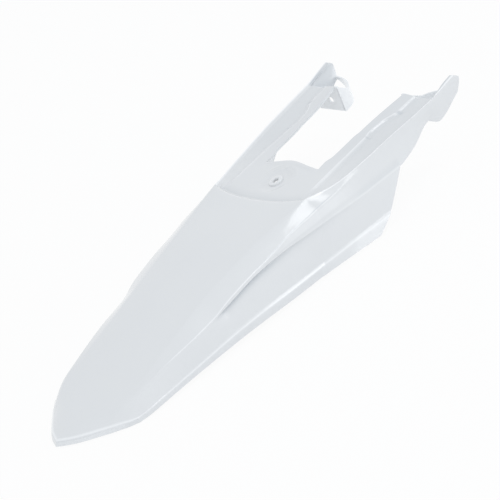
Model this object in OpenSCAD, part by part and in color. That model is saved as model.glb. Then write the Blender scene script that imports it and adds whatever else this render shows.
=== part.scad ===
// Rear fender of an off-road motorcycle, moulded in one piece from glossy plastic.
// X points to the rider's right, Y forward and Z up. The part stands on its rim:
// the pointed tail edge and the two front feet of its flanks touch the floor.
// The body is a loft. Guides run along it, and each row across it passes through them.
// A bracket like a cup hangs under the front of each arm and takes a frame bolt.

/* [Length] */
// Tail tip to the step of the seat deck, along the middle
tail_len = 408; // [350:1:460]
// Seat deck, from its step to the front of the tongue
deck_len = 82; // [64:1:110]
// Arms, from the tongue to the front of their shelves
arm_len = 156; // [130:1:190]
// Horns, from the shelves to the front ends
horn_len = 51; // [38:1:60]
// Depth of the pointed tail, from its tip to its corners
point_len = 75; // [40:1:90]
// Tail tip to the front feet of the flanks
foot_len = 482; // [460:1:500]
// Forward lean of the flank's front edge
flank_lean = 74; // [56:1:84]

/* [Width] */
// Across the corners of the tail
tail_w = 174; // [150:1:200]
// Across the ridges at the deck step
deck_w = 175; // [160:1:190]
// Across the front feet of the flanks
flank_w = 256; // [240:1:270]
// Across the front ends of the arms
arm_w = 245; // [230:1:270]
// Gap between the arms at the tongue
notch_w = 101; // [80:1:112]

/* [Height] */
// Crown at the deck step, above the floor
deck_rise = 98; // [85:1:110]
// Front ends of the arms, above the floor
arm_rise = 124; // [112:1:140]
// Most that the rim rises above the tail tip
rim_bow = 11; // [8:0.5:18]
// Lip below the crease at the tail
lip_tail = 6; // [4:0.5:8]
// Lip below the crease at the front feet
lip_front = 15.5; // [10:0.5:20]
// Height of the arm's outer wall where the flank ends
arm_wall = 41; // [36:1:46]
// Height of the arm's outer wall at its neck, behind the shelf
arm_neck = 24; // [20:1:30]
// Height of the horn's plate at the shelf
horn_wall = 37.5; // [30:0.5:46]
// Height of the horn's plate at its front end
horn_tip = 28; // [22:1:34]

/* [Moulding] */
// Wall of the moulding
wall = 2.8; // [2.2:0.1:3.4]
// Drop of the seat deck below the top surface
deck_drop = 4.5; // [3:0.5:7]
// Depth of the side panel recess under the crease
recess_d = 4; // [2.5:0.5:5]
// Depth of the channel along each arm
channel_d = 3; // [1.5:0.5:4]

/* [Fixings] */
// Bore in the tongue for the seat bolt
seat_bore = 8.5; // [6:0.5:12]
// Seat bolt bore, back from the front of the tongue
seat_bore_back = 38; // [30:1:45]
// Collar round the seat bolt bore
collar_w = 20; // [16:1:26]
// Bore in each bracket for the frame bolt
bracket_bore = 9; // [6:0.5:11]
// Depth of each bracket below its shelf
bracket_h = 37.5; // [30:0.5:46]
// Reach of each bracket inward from the horn
bracket_in = 58; // [42:1:66]

/* [Hidden] */
plastic = [0.89, 0.91, 0.94];

// Small steps that keep neighbouring guides apart
lip_set = 3;
lip_out = 1.5;
step_run = 1.5;
step_bow = 13;
point_bow = 1.3;
tip_cut = 9.5;
tip_band = 6;
ridge_run = 4;
wall_lean = 3;
lap = 0.9;

tongue_y = tail_len + deck_len;
shelf_y = tongue_y + arm_len;
front_y = shelf_y + horn_len;
side_y = foot_len + min(flank_lean, 0.8 * (shelf_y - foot_len));

// Cubic guide through knots of [place, value]
function span(g, s, i = 0) = i >= len(g) - 2 || s < g[i + 1][0] ? i : span(g, s, i + 1);
function lean(g, i) =
    let (a = max(0, i - 1), b = min(len(g) - 1, i + 1)) (g[b][1] - g[a][1]) / (g[b][0] - g[a][0]);
function blend(a, b, ta, tb, t) =
    let (t2 = t * t, t3 = t2 * t)
    (2 * t3 - 3 * t2 + 1) * a + (t3 - 2 * t2 + t) * ta + (3 * t2 - 2 * t3) * b + (t3 - t2) * tb;
function guide(g, s) =
    let (i = span(g, s), h = g[i + 1][0] - g[i][0], t = max(0, min(1, (s - g[i][0]) / h)))
    blend(g[i][1], g[i + 1][1], lean(g, i) * h, lean(g, i + 1) * h, t);
function mix(a, b, t) = a + (b - a) * t;
function ease(a, b, s) = let (t = max(0, min(1, (s - a) / (b - a)))) t * t * (3 - 2 * t);

// Places along every guide: 0 tail edge, 1 deck step, 2 tongue front,
// 3 flank front, 4 shelf front, 5 front end
function place_y(st, s) = let (i = min(len(st) - 2, floor(s))) mix(st[i], st[i + 1], s - i);
function tail_y(x) = point_len * pow(x / (tail_w / 2), point_bow);
function deck_y(x) = tail_len + step_bow * pow(x / (deck_w / 2), 2);
function arm_stations(x0, x1, ahead, back = 0) =
    [tail_y(x0), deck_y(x1), tongue_y + ahead, side_y, shelf_y, front_y - back];

// Rim: its half width and its height
function rim_x(s) = mix(tail_w, flank_w, guide([[0, 0], [0.18, 0.127], [0.33, 0.234],
    [0.54, 0.364], [0.87, 0.579], [1.83, 0.8], [2.54, 0.922], [3, 1]], s)) / 2;
function rim_z(s) = rim_bow * guide([[0, 0.09], [0.18, 0.47], [0.33, 0.73], [0.54, 0.93],
    [0.7, 0.99], [1, 0.91], [1.83, 0.98], [2.54, 0.95], [3, 0.95]], s);
function lip_h(s) = mix(lip_tail, lip_front, guide([[0, 0], [0.32, 0.16], [0.54, 0.42],
    [0.86, 0.53], [1.63, 0.7], [3, 1]], s));

// Crown line along the middle of the tail, as a height at any Y
function crown(y) = deck_rise * guide([[0, 0.085], [0.04, 0.12], [0.18, 0.265], [0.3, 0.413],
    [0.41, 0.546], [0.6, 0.74], [0.8, 0.898], [1, 1]], y / tail_len);

// Heights on the arms rise from the deck to the front ends
function arm_z(share) = deck_rise + (arm_rise - deck_rise) * share;

// Ridge: the shoulder of the tail, then the outer top edge of the arms
function ridge_x(s) = s <= 1
    ? mix(tail_w / 3, deck_w / 2, guide([[0, 0], [0.11, 0.136], [0.2, 0.2], [0.33, 0.22],
        [0.53, 0.27], [0.74, 0.51], [0.93, 0.88], [1, 1]], s))
    : mix(deck_w, arm_w, guide([[1, 0], [1.37, 0.3], [1.69, 0.486], [2.04, 0.6], [2.38, 0.68],
        [3.06, 0.794], [3.61, 0.9], [4, 0.951], [5, 1]], s)) / 2;
function ridge_z(s) = s <= 1
    ? deck_rise * guide([[0, 0.14], [0.06, 0.225], [0.11, 0.28], [0.2, 0.378], [0.33, 0.51],
        [0.53, 0.709], [0.74, 0.872], [0.93, 0.985], [1, 1.027]], s)
    : arm_z(guide([[1, 0.1], [1.37, 0.011], [1.69, 0.023], [2.04, 0.092], [2.38, 0.185],
        [3.06, 0.38], [3.61, 0.539], [4, 0.662], [5, 1]], s));
ridge_st = arm_stations(tail_w / 3, deck_w / 2, 2, tip_cut);
function ridge(s) = [ridge_x(s), place_y(ridge_st, s), ridge_z(s)];
function ridge_s(y) = (y - ridge_st[0]) / (ridge_st[1] - ridge_st[0]);

// Top surface between the crown and the ridge, ahead of the tail edge
function top_z(x, y) =
    let (s = max(0, min(1, ridge_s(y))), q = min(1, x / ridge_x(s)))
    mix(crown(y), ridge_z(s), q * q);
function top_at(x, y) = [x, y, top_z(x, y)];

// Middle, inner edge and inner ridge: on the top surface first, then on deck and arms
function middle(s, low) = low
    ? [0, mix(tail_len + step_run, tongue_y, s - 1),
        arm_z(guide([[1, 0], [1.51, 0.142], [2, 0.372]], s)) - deck_drop]
    : top_at(0, tail_len * s);
function inner_x(s) = notch_w / 2 + guide([[2, 0], [2.27, 0], [2.3, 3], [2.77, 4], [3.02, 4.5],
    [3.05, 6], [3.3, 6.8], [3.62, 9.5], [4, 16.5]], s);
function inner(s, low) = let (x0 = tail_w * 0.12, st = arm_stations(x0, notch_w / 2, -5)) low
    ? [inner_x(s), place_y(st, s) + step_run * max(0, 2 - s),
        arm_z(guide([[1, -0.019], [1.53, 0.106], [2, 0.248], [2.28, 0.327], [2.77, 0.442],
            [3.27, 0.593], [3.62, 0.708], [4, 0.885]], s)) - deck_drop]
    : let (x = mix(x0, notch_w / 2, pow(s, 3)), y = place_y(st, s)) top_at(x, y);
function bead_x(s) = deck_w / 2 - 12.5 - guide([[1, 0], [2, 0.5], [2.84, 2], [3.06, 2.5],
    [3.1, 5], [3.4, 1.5], [3.5, -2], [3.56, -7], [4, -10.5]], s);
function bead(s, low) = let (x0 = tail_w * 0.22, x1 = bead_x(1), st = arm_stations(x0, x1, -1)) low
    ? [bead_x(s), place_y(st, s) + step_run * max(0, 2 - s),
        arm_z(guide([[1, 0.019], [1.41, 0.106], [2, 0.254], [2.84, 0.411], [3.09, 0.478],
            [3.52, 0.619], [4, 0.787]], s)) - deck_drop]
    : let (x = mix(x0, x1, pow(s, 3)), y = place_y(st, s)) top_at(x, y);

// Channel floor beside the inner ridge and beside the outer ridge
function floor_in(s, low) = let (b = bead(s, low), r = ridge(s), d = ease(1, 1.35, s) * channel_d,
        t = ridge_run / (r[0] - b[0])) low
    ? mix(b, r, t) - [0, 0, d]
    : let (p = mix(b, r, t)) top_at(p[0], p[1]);
function floor_out(s, low) = let (b = bead(s, low), r = ridge(s), d = ease(1, 1.35, s) * channel_d,
        t = 1 - ridge_run / (r[0] - b[0]), e = ease(4, 4.7, s)) s > 4
    ? r - [mix(ridge_run, tip_band, e), 0, mix(channel_d, 0.25 * channel_d, e)]
    : low ? let (drop = deck_drop * (1 - ease(1, 1.5, s))) mix(b, r, t) - [0, 0, max(d, drop)]
    : let (p = mix(b, r, t)) top_at(p[0], p[1]);

// Upper crease of the flank, which runs into the ridge where the flank ends
function crease_x(s) = s < 2
    ? rim_x(s) * guide([[0, 0.79], [0.09, 0.821], [0.19, 0.833], [0.28, 0.871], [0.35, 0.896],
        [0.47, 0.908], [0.53, 0.926], [0.66, 0.928], [0.87, 0.923], [1.12, 0.924], [1.48, 0.915],
        [2, 0.907]], s)
    : ridge_x(s) + guide([[2, 2], [2.16, 1.2], [2.79, 0.3], [3.05, 0.2], [4, 0], [5, -0.3]], s);
function crease_z(s) = s < 1
    ? deck_rise * guide([[0, 0.12], [0.09, 0.255], [0.19, 0.357], [0.28, 0.418], [0.35, 0.457],
        [0.47, 0.525], [0.53, 0.607], [0.66, 0.709], [0.77, 0.768], [0.87, 0.84], [1, 0.885]], s)
    : s < 3 ? arm_z(guide([[1, -0.433], [1.12, -0.377], [1.48, -0.277], [2.16, -0.058],
        [2.79, 0.165], [3, 0.239]], s)) : ridge_z(s) - 3.5 - 0.4 * tip_cut * ease(4, 5, s);
function crease(s) = let (st = arm_stations(tail_w * 0.395, deck_w / 2, 5))
    [crease_x(s), place_y(st, s), crease_z(s)];

// Lower crease, over the recess; ahead of the flank it is the lower edge of the arm
function edge_x(s) = s < 3
    ? rim_x(s) * guide([[0, 0.828], [0.08, 0.861], [0.18, 0.867], [0.28, 0.892], [0.35, 0.911],
        [0.47, 0.911], [0.54, 0.928], [0.67, 0.937], [0.82, 0.932], [0.98, 0.951], [1.2, 0.955],
        [2, 0.951], [3, 0.941]], s)
    : ridge_x(s) - mix(ridge_x(3) - rim_x(3) * 0.941, 2 * wall_lean, ease(3, 4, s));
function edge_z(s) = s < 3
    ? deck_rise * guide([[0, 0.105], [0.08, 0.214], [0.18, 0.3], [0.28, 0.377], [0.35, 0.433],
        [0.47, 0.515], [0.54, 0.571], [0.67, 0.676], [0.82, 0.706], [0.98, 0.685], [1.2, 0.686],
        [2, 0.672], [3, 0.677]], s)
    : ridge_z(s) - guide([[3, arm_wall], [3.4, mix(arm_wall, arm_neck, 0.4)], [3.8, arm_neck],
        [4, horn_wall], [5, horn_tip]], s);
function edge(s) =
    let (st = [tail_y(tail_w * 0.414), tail_len + 11, tongue_y - 3, side_y, shelf_y + 2, front_y - tip_cut * 0.65])
    [edge_x(s), place_y(st, s), edge_z(s)];

// Lip crease and rim
function lip_s() = [tail_y(tail_w * 0.477), foot_len * 0.82, foot_len * 0.94, mix(foot_len, side_y, 0.39)];
function lip(s) = [rim_x(s) - lip_out - 2.5 * (1 - ease(0, 0.04, s)), place_y(lip_s(), s),
    rim_z(s) + lip_h(s)];
function rim(s) = [rim_x(s), place_y([tail_y(tail_w / 2) - 1, foot_len * 0.793, foot_len * 0.894, foot_len], s),
    rim_z(s)];

// Foot of the step under the lower crease; the recess starts sharply and fades out
function recess(s) = ease(0.455, 0.53, s) * (1 - ease(0.75, 1.2, s));
function step_foot(s) = mix(edge(s), lip(s), 0.08) - [recess_d * recess(s), 0, 0];

// Near the tail edge the surface rounds down to the lip crease
function rounded(p, s) =
    let (z0 = rim_z(0) + lip_tail, g = 1 - pow(1 - min(1, s / 0.07), 2)) [p[0], p[1], mix(z0, p[2], g)];

// All guide points of one row, from the middle to the rim
function rails(s, low) =
    let (r = [middle(s, low), inner(s, low), bead(s, low), floor_in(s, low), floor_out(s, low),
        ridge(s), crease(s), edge(s), step_foot(s), lip(s)])
    concat([for (p = r) low ? p : rounded(p, s)], [rim(s)]);

// How sharply the surface folds at each guide, from 0 smooth to 1 sharp
function folds(s, low) = [1 - ease(0, 0.1, s), 0, low, low, low, low ? 1 : 0.4, ease(0.1, 0.2, s)
    * (1 - ease(2.4, 2.8, s)), ease(0.45, 0.46, s), ease(0.45, 0.46, s), 1, 1];

// Divisions between one guide and the next, and the last place that each strip reaches
parts = [5, 2, 1, 2, 1, 4, 2, 1, 4, 2];
reach = [2, 4, 4, 4, 5, 5, 5, 3, 3, 3];

// Rows across the body, as [place, on the lower deck]
tail_rows = [0, 0.012, 0.03, 0.055, 0.09, 0.13, 0.175, 0.22, 0.27, 0.32, 0.365, 0.41, 0.455, 0.47,
    0.51, 0.55, 0.6, 0.65, 0.7, 0.75, 0.8, 0.85, 0.9, 0.95, 1];
deck_rows = [1.025, 1.12, 1.25, 1.4, 1.6, 1.8, 2];
arm_rows = [2.15, 2.27, 2.3, 2.5, 2.75, 3, 3.05, 3.1, 3.25, 3.4, 3.5, 3.56, 3.68, 3.8, 3.9, 4,
    4.2, 4.45, 4.7, 5];
rows = concat([for (s = tail_rows) [s, 0]], [for (s = concat(deck_rows, arm_rows)) [s, 1]]);

// One row: cubic strips between the guide points, folded or smooth at each guide
function joint_dir(p, i) = i == 0 ? [1, 0, 0]
    : let (a = norm(p[i] - p[i - 1]), b = norm(p[i + 1] - p[i]))
      ((p[i] - p[i - 1]) * b / a + (p[i + 1] - p[i]) * a / b) / (a + b);
function strip(p, f, i, t) =
    let (d = p[i + 1] - p[i], h = norm(d),
        ta = mix(joint_dir(p, i) * h, d, f[i]),
        tb = i + 1 < len(p) - 1 ? mix(joint_dir(p, i + 1) * h, d, f[i + 1]) : d)
    blend(p[i], p[i + 1], ta, tb, t);
function half_row(p, f) = concat([p[0]],
    [for (i = [0 : len(parts) - 1], k = [1 : parts[i]]) strip(p, f, i, k / parts[i])]);
function body_row(r) = half_row(rails(r[0], r[1]), folds(r[0], r[1]));

// First row: the rim of the pointed tail edge, under its lip crease
function rim_row() =
    let (p = body_row(rows[0]), n = len(p) - 1, m = n - parts[9], c = p[n] - [0.7, 2.2, 0],
        e = [for (i = [0 : m]) [p[i][0] + lip_out * min(1, p[i][0] / 12), p[i][1] - lip_set + i / m,
            c[2] * i / m]])
    concat(e, [for (i = [1 : n - m]) mix(e[m], c, i / (n - m))]);

half_rows = concat([rim_row()], [for (r = rows) body_row(r)]);
cols = len(half_rows[0]) - 1;
skin = [for (r = half_rows)
    [for (j = [-cols : cols]) let (p = r[abs(j)]) [j < 0 ? -p[0] : p[0], p[1], p[2]]]];

// Which cells of the grid are plastic: the notch and the space ahead of the flanks are open
starts = [for (i = [0 : len(parts)]) i == 0 ? 0 : let (s = [for (k = [0 : i - 1]) parts[k]]) s * [for (k = s) 1]];
function strip_of(j) = let (c = j < 0 ? -j - 1 : j) [for (k = [0 : len(parts) - 1])
    if (c >= starts[k] && c < starts[k + 1]) k][0];
col_reach = [for (j = [-cols : cols - 1]) reach[strip_of(j)]];
function solid(i, j) = i >= 0 && i < len(skin) - 1 && j >= 0 && j < 2 * cols
    && (i == 0 || rows[i][0] <= col_reach[j] + 0.001);

// Inner skin: every point moves in along the mean of the faces round it
function face_dir(i, j) = let (n = cross(skin[i][j + 1] - skin[i + 1][j], skin[i + 1][j + 1] - skin[i][j]))
    n / norm(n);
dirs = [for (i = [0 : len(skin) - 2]) [for (j = [0 : 2 * cols - 1]) solid(i, j) ? face_dir(i, j) : undef]];
function around(i, j) = [for (a = [i - 1, i], b = [j - 1, j]) if (solid(a, b)) dirs[a][b]];
function total(n) = [for (k = [0 : 2]) [for (v = n) v[k]] * [for (v = n) 1]];
function beside(i, b) = let (n = [for (a = [i - 1, i]) if (solid(a, b)) dirs[a][b]])
    len(n) > 0 ? total(n) / norm(total(n)) : [0, 0, 0];
function inward(i, j, least) = let (m = beside(i, j - 1) + beside(i, j), u = m / norm(m))
    -u * wall / max(least, min([for (v = around(i, j)) u * v]));
ridge_col = starts[5];
function on_arm(i) = i > 0 && rows[max(0, i - 1)][1] > 0;
function reach_in(i, j) = let (n = around(i, j), c = abs(j - cols))
    len(n) > 0 ? inward(i, j, on_arm(i) && c == ridge_col ? 0.4 : 0.7) : [0, 0, -wall];
depth = [for (i = [0 : len(skin) - 1]) [for (j = [0 : 2 * cols]) reach_in(i, j)]];
function is_open(i, j) = len(around(i, j)) == 0;
function eased(i, j) = let (c = abs(j - cols)) c > cols - 2 || is_open(i, j - 1) || is_open(i, j + 1)
    || (on_arm(i) && abs(c - ridge_col) < 2) ? depth[i][j] : on_arm(i)
    ? (depth[i][j - 1] + 2 * depth[i][j] + depth[i][j + 1]) / 4
    : (depth[i][j - 2] + 2 * depth[i][j - 1] + 2 * depth[i][j] + 2 * depth[i][j + 1] + depth[i][j + 2]) / 8;
// Under the ridge of the arms the inner skin folds below the outer one, so its points stay below that fold
function inner_at(i, j) = skin[i][j] + eased(i, j);
function folded(i, j) = let (k = abs(j - cols) - ridge_col, p = inner_at(i, j))
    !on_arm(i) || k <= 0 || k >= 6 ? p
    : let (side = j < cols ? -1 : 1, a = inner_at(i, cols + side * ridge_col),
        b = inner_at(i, cols + side * (ridge_col + 6))) p[2] < a[2] - 0.3 * k ? p : mix(a, b, 0.03 * k);
lining = [for (i = [0 : len(skin) - 1]) [for (j = [0 : 2 * cols]) folded(i, j)]];

// Triangles of both skins and of every open edge between them
wide = 2 * cols + 1;
function at(i, j) = i * wide + j;
function tri4(a, b, c, d, right) = right ? [[a, b, c], [a, c, d]] : [[a, b, d], [b, c, d]];
cells = [for (i = [0 : len(skin) - 2], j = [0 : 2 * cols - 1]) if (solid(i, j)) [i, j]];
under = len(skin) * wide;
skin_faces = [for (c = cells) let (i = c[0], j = c[1])
    each tri4(at(i, j), at(i + 1, j), at(i + 1, j + 1), at(i, j + 1), j >= cols)];
lining_faces = [for (f = skin_faces) [for (k = [2, 1, 0]) f[k] + under]];
function side_wall(a, b) = [[a, b, b + under], [a, b + under, a + under]];
edge_faces = [for (c = cells) let (i = c[0], j = c[1]) each concat(
    solid(i - 1, j) ? [] : side_wall(at(i, j + 1), at(i, j)),
    solid(i + 1, j) ? [] : side_wall(at(i + 1, j), at(i + 1, j + 1)),
    solid(i, j - 1) ? [] : side_wall(at(i, j), at(i + 1, j)),
    solid(i, j + 1) ? [] : side_wall(at(i + 1, j + 1), at(i, j + 1)))];

module shell() {
    polyhedron([for (r = skin) each r, for (r = lining) each r],
        concat(skin_faces, lining_faces, [for (f = edge_faces) [f[2], f[1], f[0]]]), convexity = 8);
}

// Bracket at the front of an arm: a rear plate and a wall that curves round to the horn.
// Its top follows the underside of the shelf and its outer side leans with the horn.
horn_x = ridge_x(4) - wall / 2;
bracket_z = ridge_z(4) - bracket_h;
bore_x = horn_x - bracket_in * 0.61;
bore_z = bracket_z + bracket_h * 0.42;
cup_len = horn_len * 0.9;
function cup(d) = concat([[arm_w, shelf_y - lap + d], [horn_x - bracket_in + d, shelf_y - lap + d]],
    [for (a = [6 : 6 : 90]) [horn_x - (bracket_in - d) * cos(a), shelf_y + (cup_len - d) * sin(a)]],
    [[arm_w, shelf_y + cup_len - d]]);
function seat(p) = [p[0], p[2] - lap];

module bracket() {
    difference() {
        intersection() {
            translate([0, 0, bracket_z]) linear_extrude(bracket_h) difference() {
                polygon(cup(0));
                polygon(cup(wall));
            }
            translate([horn_x - bracket_in - 1, 0, 0]) rotate([90, 0, 90]) linear_extrude(bracket_in + 9)
                polygon([[shelf_y - 2 * lap, bracket_z], [shelf_y + 2, bracket_z],
                    [shelf_y + 0.8 * cup_len, bracket_z + lap],
                    [shelf_y + cup_len, ridge_z(5) - horn_tip + 2 * lap],
                    [shelf_y + cup_len, max(bracket_z + 0.62 * bracket_h, ridge_z(5) - horn_tip + 2 * lap + wall)],
                    [shelf_y + 0.52 * cup_len, bracket_z + 0.58 * bracket_h],
                    [shelf_y + 0.31 * cup_len, bracket_z + 0.73 * bracket_h],
                    [shelf_y + 0.05 * cup_len, bracket_z + 0.95 * bracket_h],
                    [shelf_y - 2 * lap, ridge_z(4) + 2]]);
            translate([0, front_y + 5, 0]) rotate([90, 0, 0]) linear_extrude(horn_len + 20)
                polygon(concat([for (p = [inner(4, 1), bead(4, 1), floor_in(4, 1), floor_out(4, 1)])
                    seat(p)], [[horn_x, ridge_z(4) - channel_d - lap],
                    [horn_x - 2 * wall_lean, bracket_z], [horn_x - bracket_in, bracket_z]]));
        }
        translate([bore_x, shelf_y, bore_z]) rotate([90, 0, 0])
            cylinder(d = bracket_bore, h = 8 * wall, center = true, $fn = 48);
    }
}

// Seat bolt: a collar square to the deck, with its bore
module on_deck() {
    a = middle(1.5, 1);
    b = middle(2, 1);
    translate([0, tongue_y - seat_bore_back, middle(2 - seat_bore_back / deck_len, 1)[2]])
        rotate([atan2(b[2] - a[2], b[1] - a[1]), 0, 0]) children();
}

// The part is turned so that it stands on the corners of its tail and on its front feet
foot = rim(3);
corner = rim(0);
stand = atan2(foot[2] - corner[2], foot[1] - corner[1]);
function stood(p) = [p[1] * cos(stand) + p[2] * sin(stand), p[2] * cos(stand) - p[1] * sin(stand)];
reached = [for (i = [0 : len(skin) - 1], j = [0 : 2 * cols]) if (!is_open(i, j))
    each [stood(skin[i][j]), stood(lining[i][j])]];
ends_y = [min([for (p = reached) p[0]]), max([for (p = reached) p[0]])];
low_z = min([for (p = reached) p[1]]);

module rear_fender() {
    color(plastic) translate([0, -(ends_y[0] + ends_y[1]) / 2, -low_z]) rotate([-stand, 0, 0]) difference() {
        union() {
            shell();
            for (side = [0, 1]) mirror([side, 0, 0]) bracket();
            on_deck() translate([0, 0, -wall - 1]) cylinder(d = collar_w, h = wall + 2.5, $fn = 48);
        }
        on_deck() cylinder(d = seat_bore, h = 8 * wall, center = true, $fn = 48);
    }
}

rear_fender();
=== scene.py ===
# %% [markdown]
# # A motorcycle rear fender in glossy white plastic
# The real fender is one injection moulding, so this lesson builds one piece. Its long curved
# skin follows a rule: guide lines run along the fender and each row across passes through
# them. The CAD model uses the same rule with few rows. Here it gets many rows and soft folds.

# %%
import math

import bmesh
import bpy
import numpy as np
from mathutils import Matrix, Vector


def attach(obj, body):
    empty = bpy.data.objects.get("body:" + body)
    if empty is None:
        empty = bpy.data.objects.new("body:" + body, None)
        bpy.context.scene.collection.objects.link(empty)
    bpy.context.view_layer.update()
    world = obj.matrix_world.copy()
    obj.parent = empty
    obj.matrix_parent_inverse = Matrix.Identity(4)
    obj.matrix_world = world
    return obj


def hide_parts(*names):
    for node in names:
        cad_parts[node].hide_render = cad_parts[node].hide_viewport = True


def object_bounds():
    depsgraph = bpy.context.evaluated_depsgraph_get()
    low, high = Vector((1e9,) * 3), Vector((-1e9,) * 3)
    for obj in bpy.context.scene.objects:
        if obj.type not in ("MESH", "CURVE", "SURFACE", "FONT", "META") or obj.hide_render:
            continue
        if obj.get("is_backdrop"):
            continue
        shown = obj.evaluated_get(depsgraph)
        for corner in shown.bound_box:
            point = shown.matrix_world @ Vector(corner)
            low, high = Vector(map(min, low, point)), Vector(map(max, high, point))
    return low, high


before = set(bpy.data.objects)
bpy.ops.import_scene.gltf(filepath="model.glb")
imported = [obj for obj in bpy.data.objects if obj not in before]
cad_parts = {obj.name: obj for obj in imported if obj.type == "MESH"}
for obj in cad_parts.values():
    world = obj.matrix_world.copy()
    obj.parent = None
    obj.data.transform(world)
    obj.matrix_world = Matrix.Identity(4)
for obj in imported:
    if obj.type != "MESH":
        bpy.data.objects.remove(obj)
cad_box = [list(corner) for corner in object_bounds()]
print("CAD box in mm:", [[round(v * 1000, 1) for v in corner] for corner in cad_box])

# %% [markdown]
# ## Sizes
# All sizes are in millimetres and the same as in the CAD source, so the two shapes agree.
# Lengths are counted from the tip of the tail, and widths from the middle plane.

# %%
tail_len, deck_len, arm_len, horn_len = 408, 82, 156, 51
point_len, foot_len, flank_lean = 75, 482, 74
tail_w, deck_w, flank_w, arm_w, notch_w = 174, 175, 256, 245, 101
deck_rise, arm_rise, rim_bow, lip_tail, lip_front = 98, 124, 11, 6, 15.5
arm_wall, arm_neck, horn_wall, horn_tip = 41, 24, 37.5, 28
wall, deck_drop, recess_d, channel_d = 2.8, 4.5, 4, 3
seat_bore, seat_bore_back, collar_w = 8.5, 38, 20
bracket_bore, bracket_h, bracket_in = 9, 37.5, 58
lip_set, lip_out, step_run, step_bow, ridge_run, wall_lean, lap = 3, 1.5, 1.5, 13, 4, 3, 0.9
point_bow, tip_cut, tip_band, bead_in = 1.3, 9.5, 6, 12.5
tongue_y = tail_len + deck_len
shelf_y = tongue_y + arm_len
front_y = shelf_y + horn_len
side_y = foot_len + min(flank_lean, 0.8 * (shelf_y - foot_len))
print("overall length before it is stood up:", front_y + 2, "mm")

# %% [markdown]
# ## Guide lines
# A guide is a list of knots. Between two knots the value follows a cubic curve, which keeps
# the line smooth. A spline object could do this too, but plain numbers let every guide be
# measured at the same station: 0 is the tail edge, 1 the step of the deck, 2 the tongue,
# 3 the end of the flank, 4 the shelf and 5 the front end.

# %%
def mix(a, b, t):
    return a + (b - a) * t


def ease(a, b, s):
    t = max(0.0, min(1.0, (s - a) / (b - a)))
    return t * t * (3 - 2 * t)


def blend(a, b, ta, tb, t):
    """A cubic curve from a to b that leaves along ta and arrives along tb."""
    t2, t3 = t * t, t * t * t
    return ((2 * t3 - 3 * t2 + 1) * a + (t3 - 2 * t2 + t) * ta
            + (3 * t2 - 2 * t3) * b + (t3 - t2) * tb)


def guide(knots, s):
    def slope(i):
        a, b = knots[max(0, i - 1)], knots[min(len(knots) - 1, i + 1)]
        return (b[1] - a[1]) / (b[0] - a[0])

    i = 0
    while i < len(knots) - 2 and s >= knots[i + 1][0]:
        i += 1
    (s0, v0), (s1, v1) = knots[i], knots[i + 1]
    t = max(0.0, min(1.0, (s - s0) / (s1 - s0)))
    return blend(v0, v1, slope(i) * (s1 - s0), slope(i + 1) * (s1 - s0), t)


def place_y(stations, s):
    """The place along the fender at a station, from the places of the whole stations."""
    i = min(len(stations) - 2, int(s))
    return mix(stations[i], stations[i + 1], s - i)


def tail_y(x):
    return point_len * (x / (tail_w / 2)) ** point_bow


def arm_stations(x0, x1, ahead, back=0):
    deck_y = tail_len + step_bow * (x1 / (deck_w / 2)) ** 2
    return [tail_y(x0), deck_y, tongue_y + ahead, side_y, shelf_y, front_y - back]


def arm_z(share):
    return deck_rise + (arm_rise - deck_rise) * share


print("height of the deck's front edge:", round(arm_z(0.372) - deck_drop, 1), "mm")

# %% [markdown]
# ## The rim, the crown and the ridge
# The rim is the lower edge. It bows up a little and flares outwards towards the feet of the
# flanks, as a moulding needs to leave its mould. The crown is the line along the middle,
# and the ridge is the shoulder of the tail that becomes the outer top edge of each arm.

# %%
def rim_x(s):
    return mix(tail_w, flank_w, guide([[0, 0], [0.18, 0.127], [0.33, 0.234], [0.54, 0.364],
                                       [0.87, 0.579], [1.83, 0.8], [2.54, 0.922], [3, 1]], s)) / 2


def rim_z(s):
    return rim_bow * guide([[0, 0.09], [0.18, 0.47], [0.33, 0.73], [0.54, 0.93],
                            [0.7, 0.99], [1, 0.91], [1.83, 0.98], [2.54, 0.95], [3, 0.95]], s)


def lip_h(s):
    return mix(lip_tail, lip_front, guide([[0, 0], [0.32, 0.16], [0.54, 0.42], [0.86, 0.53],
                                           [1.63, 0.7], [3, 1]], s))


def crown(y):
    return deck_rise * guide([[0, 0.085], [0.04, 0.12], [0.18, 0.265], [0.3, 0.413], [0.41, 0.546],
                              [0.6, 0.74], [0.8, 0.898], [1, 1]], y / tail_len)


def ridge_x(s):
    if s <= 1:
        return mix(tail_w / 3, deck_w / 2,
                   guide([[0, 0], [0.11, 0.136], [0.2, 0.2], [0.33, 0.22], [0.53, 0.27],
                          [0.74, 0.51], [0.93, 0.88], [1, 1]], s))
    return mix(deck_w, arm_w, guide([[1, 0], [1.37, 0.3], [1.69, 0.486], [2.04, 0.6], [2.38, 0.68],
                                     [3.06, 0.794], [3.61, 0.9], [4, 0.951], [5, 1]], s)) / 2


def ridge_z(s):
    if s <= 1:
        return deck_rise * guide([[0, 0.14], [0.06, 0.225], [0.11, 0.28], [0.2, 0.378],
                                  [0.33, 0.51], [0.53, 0.709], [0.74, 0.872], [0.93, 0.985],
                                  [1, 1.027]], s)
    return arm_z(guide([[1, 0.1], [1.37, 0.011], [1.69, 0.023], [2.04, 0.092], [2.38, 0.185],
                        [3.06, 0.38], [3.61, 0.539], [4, 0.662], [5, 1]], s))


ridge_st = arm_stations(tail_w / 3, deck_w / 2, 2, tip_cut)


def ridge(s):
    return np.array([ridge_x(s), place_y(ridge_st, s), ridge_z(s)])


def top_at(x, y):
    s = max(0.0, min(1.0, (y - ridge_st[0]) / (ridge_st[1] - ridge_st[0])))
    q = min(1.0, x / ridge_x(s))
    return np.array([x, y, mix(crown(y), ridge_z(s), q * q)])


print("half width over the ridges at the deck step:", round(ridge_x(1), 1), "mm")

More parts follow.
